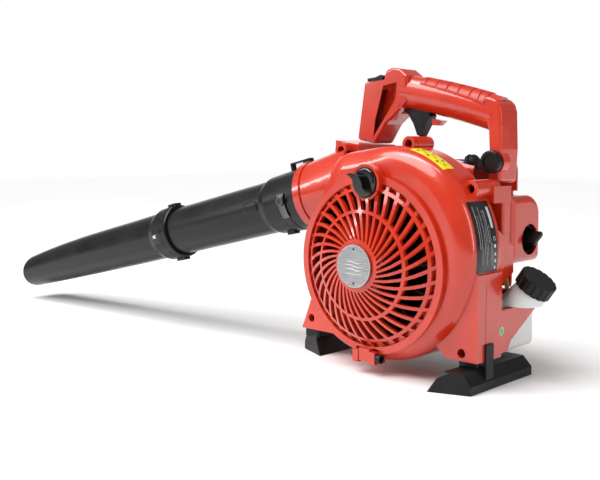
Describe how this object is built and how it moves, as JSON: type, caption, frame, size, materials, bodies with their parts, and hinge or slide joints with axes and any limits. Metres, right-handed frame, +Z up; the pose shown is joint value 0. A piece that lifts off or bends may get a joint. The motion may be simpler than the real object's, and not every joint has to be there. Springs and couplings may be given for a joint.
{
  "type": "hand-held leaf blower",
  "caption": "Hand-held petrol leaf blower: snail fan case with hinged intake grille, top handle with trigger, recoil starter, fuel tank and a bayonet air tube with nozzle",
  "frame": {"origin": "on the ground under the middle of the machine's overall box", "axes": "+X to the rear of the machine, away from the nozzle; +Y away from the intake grille, towards the starter; +Z up"},
  "size_m": [0.9082, 0.2306, 0.3509],
  "materials": {
    "red_shell": "gloss",
    "black_plastic": "satin",
    "tube_plastic": "satin",
    "knob_plastic": "gloss",
    "white_plastic": "translucent satin",
    "grey_plastic": "satin",
    "rubber": "matt",
    "steel": "machined",
    "black_steel": "black oxide",
    "cast_aluminium": "as cast",
    "exhaust_steel": "heat stained",
    "foam": "open cell foam",
    "fuel_hose": "smooth",
    "rope": "braided"
  },
  "bodies": {
    "machine": {"carburetor": "cast_aluminium", "case_screws": "black_steel", "crank_bearings": "steel", "crankcase_front": "cast_aluminium", "crankcase_rear": "cast_aluminium", "cylinder": "cast_aluminium", "damper_cap": "black_plastic", "engine_shroud": "red_shell", "filter_base": "black_plastic", "filter_element": "foam", "front_foot": "rubber", "fuel_line": "fuel_hose", "fuel_tank": "white_plastic", "grille_hinge_pin": "steel", "handle_left": "red_shell", "handle_right": "red_shell", "ignition_coil": "grey_plastic", "insulator_block": "black_plastic", "muffler": "exhaust_steel", "muffler_guard": "exhaust_steel", "primer_bulb": "rubber", "rear_foot": "rubber", "recoil_spring": "steel", "spark_plug": "steel", "starter_housing": "red_shell", "tank_grommet": "rubber", "trigger_pin": "steel", "trigger_stop": "red_shell", "volute_front_shell": "red_shell", "volute_rear_shell": "red_shell"},
    "crank": {"crankshaft_front": "steel", "crankshaft_rear": "steel", "impeller": "black_plastic", "impeller_nut": "steel", "flywheel": "cast_aluminium", "flywheel_nut": "steel"},
    "piston": {"piston": "cast_aluminium", "wrist_pin": "steel", "connecting_rod": "steel"},
    "grille": {"intake_grille": "red_shell", "grille_badge": "steel"},
    "knob": {"grille_knob": "knob_plastic"},
    "trigger": {"throttle_trigger": "black_plastic"},
    "switch": {"stop_switch": "black_plastic"},
    "choke": {"choke_lever": "black_plastic"},
    "cap_seal": {"cap_gasket": "rubber"},
    "cap": {"tank_cap": "black_plastic"},
    "cover": {"filter_cover": "red_shell"},
    "tube": {"outlet_tube": "tube_plastic", "tube_clip": "steel", "clip_screw": "steel"},
    "nozzle": {"nozzle": "tube_plastic"},
    "plug_boot": {"plug_cap": "rubber"},
    "pull": {"starter_handle": "black_plastic"},
    "pulley": {"starter_pulley": "black_plastic", "wound_rope": "rope"}
  },
  "joints": [
    {"name": "crank_spin", "type": "hinge", "parent": "machine", "child": "crank", "pos_m": [0.28472, -0.07467, 0.124], "axis": [0, 1, 0], "continuous": true},
    {"name": "piston_stroke", "type": "slide", "parent": "machine", "child": "piston", "axis": [0, 0, -1], "range_m": [0, 0.028]},
    {"name": "grille_hinge", "type": "hinge", "parent": "machine", "child": "grille", "pos_m": [0.28472, -0.08267, 0.02], "axis": [1, 0, 0], "range_deg": [0, 80]},
    {"name": "knob_turn", "type": "hinge", "parent": "grille", "child": "knob", "pos_m": [0.28472, -0.08367, 0.216], "axis": [0, -1, 0], "range_deg": [0, 90]},
    {"name": "trigger_pivot", "type": "hinge", "parent": "machine", "child": "trigger", "pos_m": [0.26572, 0.01833, 0.304], "axis": [0, -1, 0], "range_deg": [0, 14], "stiffness_Nm_per_rad": 0.8, "springref_deg": -11.46},
    {"name": "stop_slide", "type": "slide", "parent": "machine", "child": "switch", "axis": [0.998, 0, 0.064], "range_m": [0, 0.004]},
    {"name": "choke_turn", "type": "hinge", "parent": "machine", "child": "choke", "pos_m": [0.39472, 0.05633, 0.151], "axis": [1, 0, 0], "range_deg": [0, 75]},
    {"name": "cap_lift", "type": "slide", "parent": "machine", "child": "cap_seal", "axis": [0.5736, 0, 0.8192], "range_m": [0, 0.06]},
    {"name": "cap_turn", "type": "hinge", "parent": "cap_seal", "child": "cap", "pos_m": [0.43272, 0.02833, 0.106], "axis": [0.5736, 0, 0.8192], "range_deg": [0, 540]},
    {"name": "cover_slide", "type": "slide", "parent": "machine", "child": "cover", "axis": [1, 0, 0], "range_m": [0, 0.03]},
    {"name": "tube_slide", "type": "slide", "parent": "machine", "child": "tube", "axis": [-0.9687, -0.0847, -0.2334], "range_m": [0, 0.06]},
    {"name": "nozzle_turn", "type": "hinge", "parent": "tube", "child": "nozzle", "pos_m": [0.15622, -0.03127, 0.1937], "axis": [-0.9687, -0.0847, -0.2334], "range_deg": [0, 30]},
    {"name": "plug_boot_slide", "type": "slide", "parent": "machine", "child": "plug_boot", "axis": [0.866, 0, 0.5], "range_m": [0, 0.014]},
    {"name": "starter_pull", "type": "slide", "parent": "machine", "child": "pull", "axis": [0, 0, 1], "range_m": [0, 0.7], "stiffness_N_per_m": 12, "springref_m": -0.3},
    {"name": "pulley_turn", "type": "hinge", "parent": "machine", "child": "pulley", "pos_m": [0.28472, 0.10133, 0.124], "axis": [0, 1, 0], "range_deg": [0, 1432.4]}
  ],
  "couplings": [
    {"joint": "pulley_turn", "follows": "starter_pull", "rad_per_m": 35.714}
  ]
}
